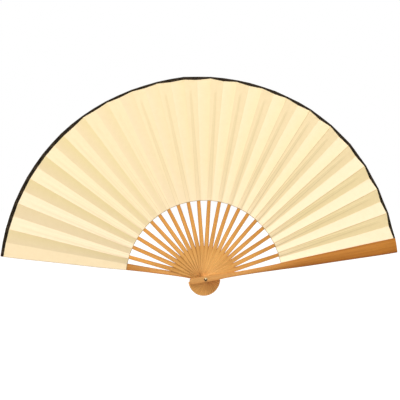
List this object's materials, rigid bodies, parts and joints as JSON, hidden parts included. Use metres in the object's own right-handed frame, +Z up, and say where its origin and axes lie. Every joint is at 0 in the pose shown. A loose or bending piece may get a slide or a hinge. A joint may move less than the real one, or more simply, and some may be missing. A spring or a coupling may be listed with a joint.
{
  "type": "folding fan",
  "caption": "Hand-held folding fan with a pleated paper leaf on bamboo ribs between two guards, all turning on one rivet.",
  "frame": {"origin": "on the rivet's axis at the middle of the stack of sticks, where the hand holds the head", "axes": "+X to the front guard's side of the open fan, +Y from the front to the back along the rivet, +Z up"},
  "size_m": [0.6117, 0.0282, 0.3346],
  "materials": {
    "guard_bamboo": "smooth, lightly varnished, darker towards the tip",
    "rib_bamboo": "smooth natural bamboo",
    "leaf_paper": "matt, two plies, with a dark bound outer edge",
    "rivet_brass": "polished"
  },
  "bodies": {
    "guard_front": {"guard_front": "guard_bamboo", "leaf_pleat_21": "leaf_paper", "rivet": "rivet_brass", "washer_front": "rivet_brass", "washer_back": "rivet_brass"},
    "stick_20": {"rib_20": "rib_bamboo", "leaf_pleat_20": "leaf_paper"},
    "stick_19": {"rib_19": "rib_bamboo", "leaf_pleat_19": "leaf_paper"},
    "stick_18": {"rib_18": "rib_bamboo", "leaf_pleat_18": "leaf_paper"},
    "stick_17": {"rib_17": "rib_bamboo", "leaf_pleat_17": "leaf_paper"},
    "stick_16": {"rib_16": "rib_bamboo", "leaf_pleat_16": "leaf_paper"},
    "stick_15": {"rib_15": "rib_bamboo", "leaf_pleat_15": "leaf_paper"},
    "stick_14": {"rib_14": "rib_bamboo", "leaf_pleat_14": "leaf_paper"},
    "stick_13": {"rib_13": "rib_bamboo", "leaf_pleat_13": "leaf_paper"},
    "stick_12": {"rib_12": "rib_bamboo", "leaf_pleat_12": "leaf_paper"},
    "stick_11": {"rib_11": "rib_bamboo", "leaf_pleat_11": "leaf_paper"},
    "stick_10": {"rib_10": "rib_bamboo", "leaf_pleat_10": "leaf_paper"},
    "stick_09": {"rib_09": "rib_bamboo", "leaf_pleat_09": "leaf_paper"},
    "stick_08": {"rib_08": "rib_bamboo", "leaf_pleat_08": "leaf_paper"},
    "stick_07": {"rib_07": "rib_bamboo", "leaf_pleat_07": "leaf_paper"},
    "stick_06": {"rib_06": "rib_bamboo", "leaf_pleat_06": "leaf_paper"},
    "stick_05": {"rib_05": "rib_bamboo", "leaf_pleat_05": "leaf_paper"},
    "stick_04": {"rib_04": "rib_bamboo", "leaf_pleat_04": "leaf_paper"},
    "stick_03": {"rib_03": "rib_bamboo", "leaf_pleat_03": "leaf_paper"},
    "stick_02": {"rib_02": "rib_bamboo", "leaf_pleat_02": "leaf_paper"},
    "stick_01": {"rib_01": "rib_bamboo", "leaf_pleat_01": "leaf_paper"},
    "guard_back": {"guard_back": "guard_bamboo", "leaf_pleat_00": "leaf_paper"}
  },
  "joints": [
    {"name": "fan_fold", "type": "hinge", "parent": "guard_front", "child": "stick_20", "pos_m": [0, 0, 0], "axis": [0, 1, 0], "range_deg": [0, 7.7], "deforming": ["leaf_pleat_20"]},
    {"name": "fold_19", "type": "hinge", "parent": "stick_20", "child": "stick_19", "pos_m": [0, 0, 0], "axis": [0, 1, 0], "range_deg": [0, 7.7], "deforming": ["leaf_pleat_19"]},
    {"name": "fold_18", "type": "hinge", "parent": "stick_19", "child": "stick_18", "pos_m": [0, 0, 0], "axis": [0, 1, 0], "range_deg": [0, 7.7], "deforming": ["leaf_pleat_18"]},
    {"name": "fold_17", "type": "hinge", "parent": "stick_18", "child": "stick_17", "pos_m": [0, 0, 0], "axis": [0, 1, 0], "range_deg": [0, 7.7], "deforming": ["leaf_pleat_17"]},
    {"name": "fold_16", "type": "hinge", "parent": "stick_17", "child": "stick_16", "pos_m": [0, 0, 0], "axis": [0, 1, 0], "range_deg": [0, 7.7], "deforming": ["leaf_pleat_16"]},
    {"name": "fold_15", "type": "hinge", "parent": "stick_16", "child": "stick_15", "pos_m": [0, 0, 0], "axis": [0, 1, 0], "range_deg": [0, 7.7], "deforming": ["leaf_pleat_15"]},
    {"name": "fold_14", "type": "hinge", "parent": "stick_15", "child": "stick_14", "pos_m": [0, 0, 0], "axis": [0, 1, 0], "range_deg": [0, 7.7], "deforming": ["leaf_pleat_14"]},
    {"name": "fold_13", "type": "hinge", "parent": "stick_14", "child": "stick_13", "pos_m": [0, 0, 0], "axis": [0, 1, 0], "range_deg": [0, 7.7], "deforming": ["leaf_pleat_13"]},
    {"name": "fold_12", "type": "hinge", "parent": "stick_13", "child": "stick_12", "pos_m": [0, 0, 0], "axis": [0, 1, 0], "range_deg": [0, 7.7], "deforming": ["leaf_pleat_12"]},
    {"name": "fold_11", "type": "hinge", "parent": "stick_12", "child": "stick_11", "pos_m": [0, 0, 0], "axis": [0, 1, 0], "range_deg": [0, 7.7], "deforming": ["leaf_pleat_11"]},
    {"name": "fold_10", "type": "hinge", "parent": "stick_11", "child": "stick_10", "pos_m": [0, 0, 0], "axis": [0, 1, 0], "range_deg": [0, 7.7], "deforming": ["leaf_pleat_10"]},
    {"name": "fold_09", "type": "hinge", "parent": "stick_10", "child": "stick_09", "pos_m": [0, 0, 0], "axis": [0, 1, 0], "range_deg": [0, 7.7], "deforming": ["leaf_pleat_09"]},
    {"name": "fold_08", "type": "hinge", "parent": "stick_09", "child": "stick_08", "pos_m": [0, 0, 0], "axis": [0, 1, 0], "range_deg": [0, 7.7], "deforming": ["leaf_pleat_08"]},
    {"name": "fold_07", "type": "hinge", "parent": "stick_08", "child": "stick_07", "pos_m": [0, 0, 0], "axis": [0, 1, 0], "range_deg": [0, 7.7], "deforming": ["leaf_pleat_07"]},
    {"name": "fold_06", "type": "hinge", "parent": "stick_07", "child": "stick_06", "pos_m": [0, 0, 0], "axis": [0, 1, 0], "range_deg": [0, 7.7], "deforming": ["leaf_pleat_06"]},
    {"name": "fold_05", "type": "hinge", "parent": "stick_06", "child": "stick_05", "pos_m": [0, 0, 0], "axis": [0, 1, 0], "range_deg": [0, 7.7], "deforming": ["leaf_pleat_05"]},
    {"name": "fold_04", "type": "hinge", "parent": "stick_05", "child": "stick_04", "pos_m": [0, 0, 0], "axis": [0, 1, 0], "range_deg": [0, 7.7], "deforming": ["leaf_pleat_04"]},
    {"name": "fold_03", "type": "hinge", "parent": "stick_04", "child": "stick_03", "pos_m": [0, 0, 0], "axis": [0, 1, 0], "range_deg": [0, 7.7], "deforming": ["leaf_pleat_03"]},
    {"name": "fold_02", "type": "hinge", "parent": "stick_03", "child": "stick_02", "pos_m": [0, 0, 0], "axis": [0, 1, 0], "range_deg": [0, 7.7], "deforming": ["leaf_pleat_02"]},
    {"name": "fold_01", "type": "hinge", "parent": "stick_02", "child": "stick_01", "pos_m": [0, 0, 0], "axis": [0, 1, 0], "range_deg": [0, 7.7], "deforming": ["leaf_pleat_01"]},
    {"name": "fold_00", "type": "hinge", "parent": "stick_01", "child": "guard_back", "pos_m": [0, 0, 0], "axis": [0, 1, 0], "range_deg": [0, 7.7], "deforming": ["leaf_pleat_00"]}
  ],
  "couplings": [
    {"joint": "fold_19", "follows": "fan_fold", "ratio": 1},
    {"joint": "fold_18", "follows": "fan_fold", "ratio": 1},
    {"joint": "fold_17", "follows": "fan_fold", "ratio": 1},
    {"joint": "fold_16", "follows": "fan_fold", "ratio": 1},
    {"joint": "fold_15", "follows": "fan_fold", "ratio": 1},
    {"joint": "fold_14", "follows": "fan_fold", "ratio": 1},
    {"joint": "fold_13", "follows": "fan_fold", "ratio": 1},
    {"joint": "fold_12", "follows": "fan_fold", "ratio": 1},
    {"joint": "fold_11", "follows": "fan_fold", "ratio": 1},
    {"joint": "fold_10", "follows": "fan_fold", "ratio": 1},
    {"joint": "fold_09", "follows": "fan_fold", "ratio": 1},
    {"joint": "fold_08", "follows": "fan_fold", "ratio": 1},
    {"joint": "fold_07", "follows": "fan_fold", "ratio": 1},
    {"joint": "fold_06", "follows": "fan_fold", "ratio": 1},
    {"joint": "fold_05", "follows": "fan_fold", "ratio": 1},
    {"joint": "fold_04", "follows": "fan_fold", "ratio": 1},
    {"joint": "fold_03", "follows": "fan_fold", "ratio": 1},
    {"joint": "fold_02", "follows": "fan_fold", "ratio": 1},
    {"joint": "fold_01", "follows": "fan_fold", "ratio": 1},
    {"joint": "fold_00", "follows": "fan_fold", "ratio": 1}
  ]
}
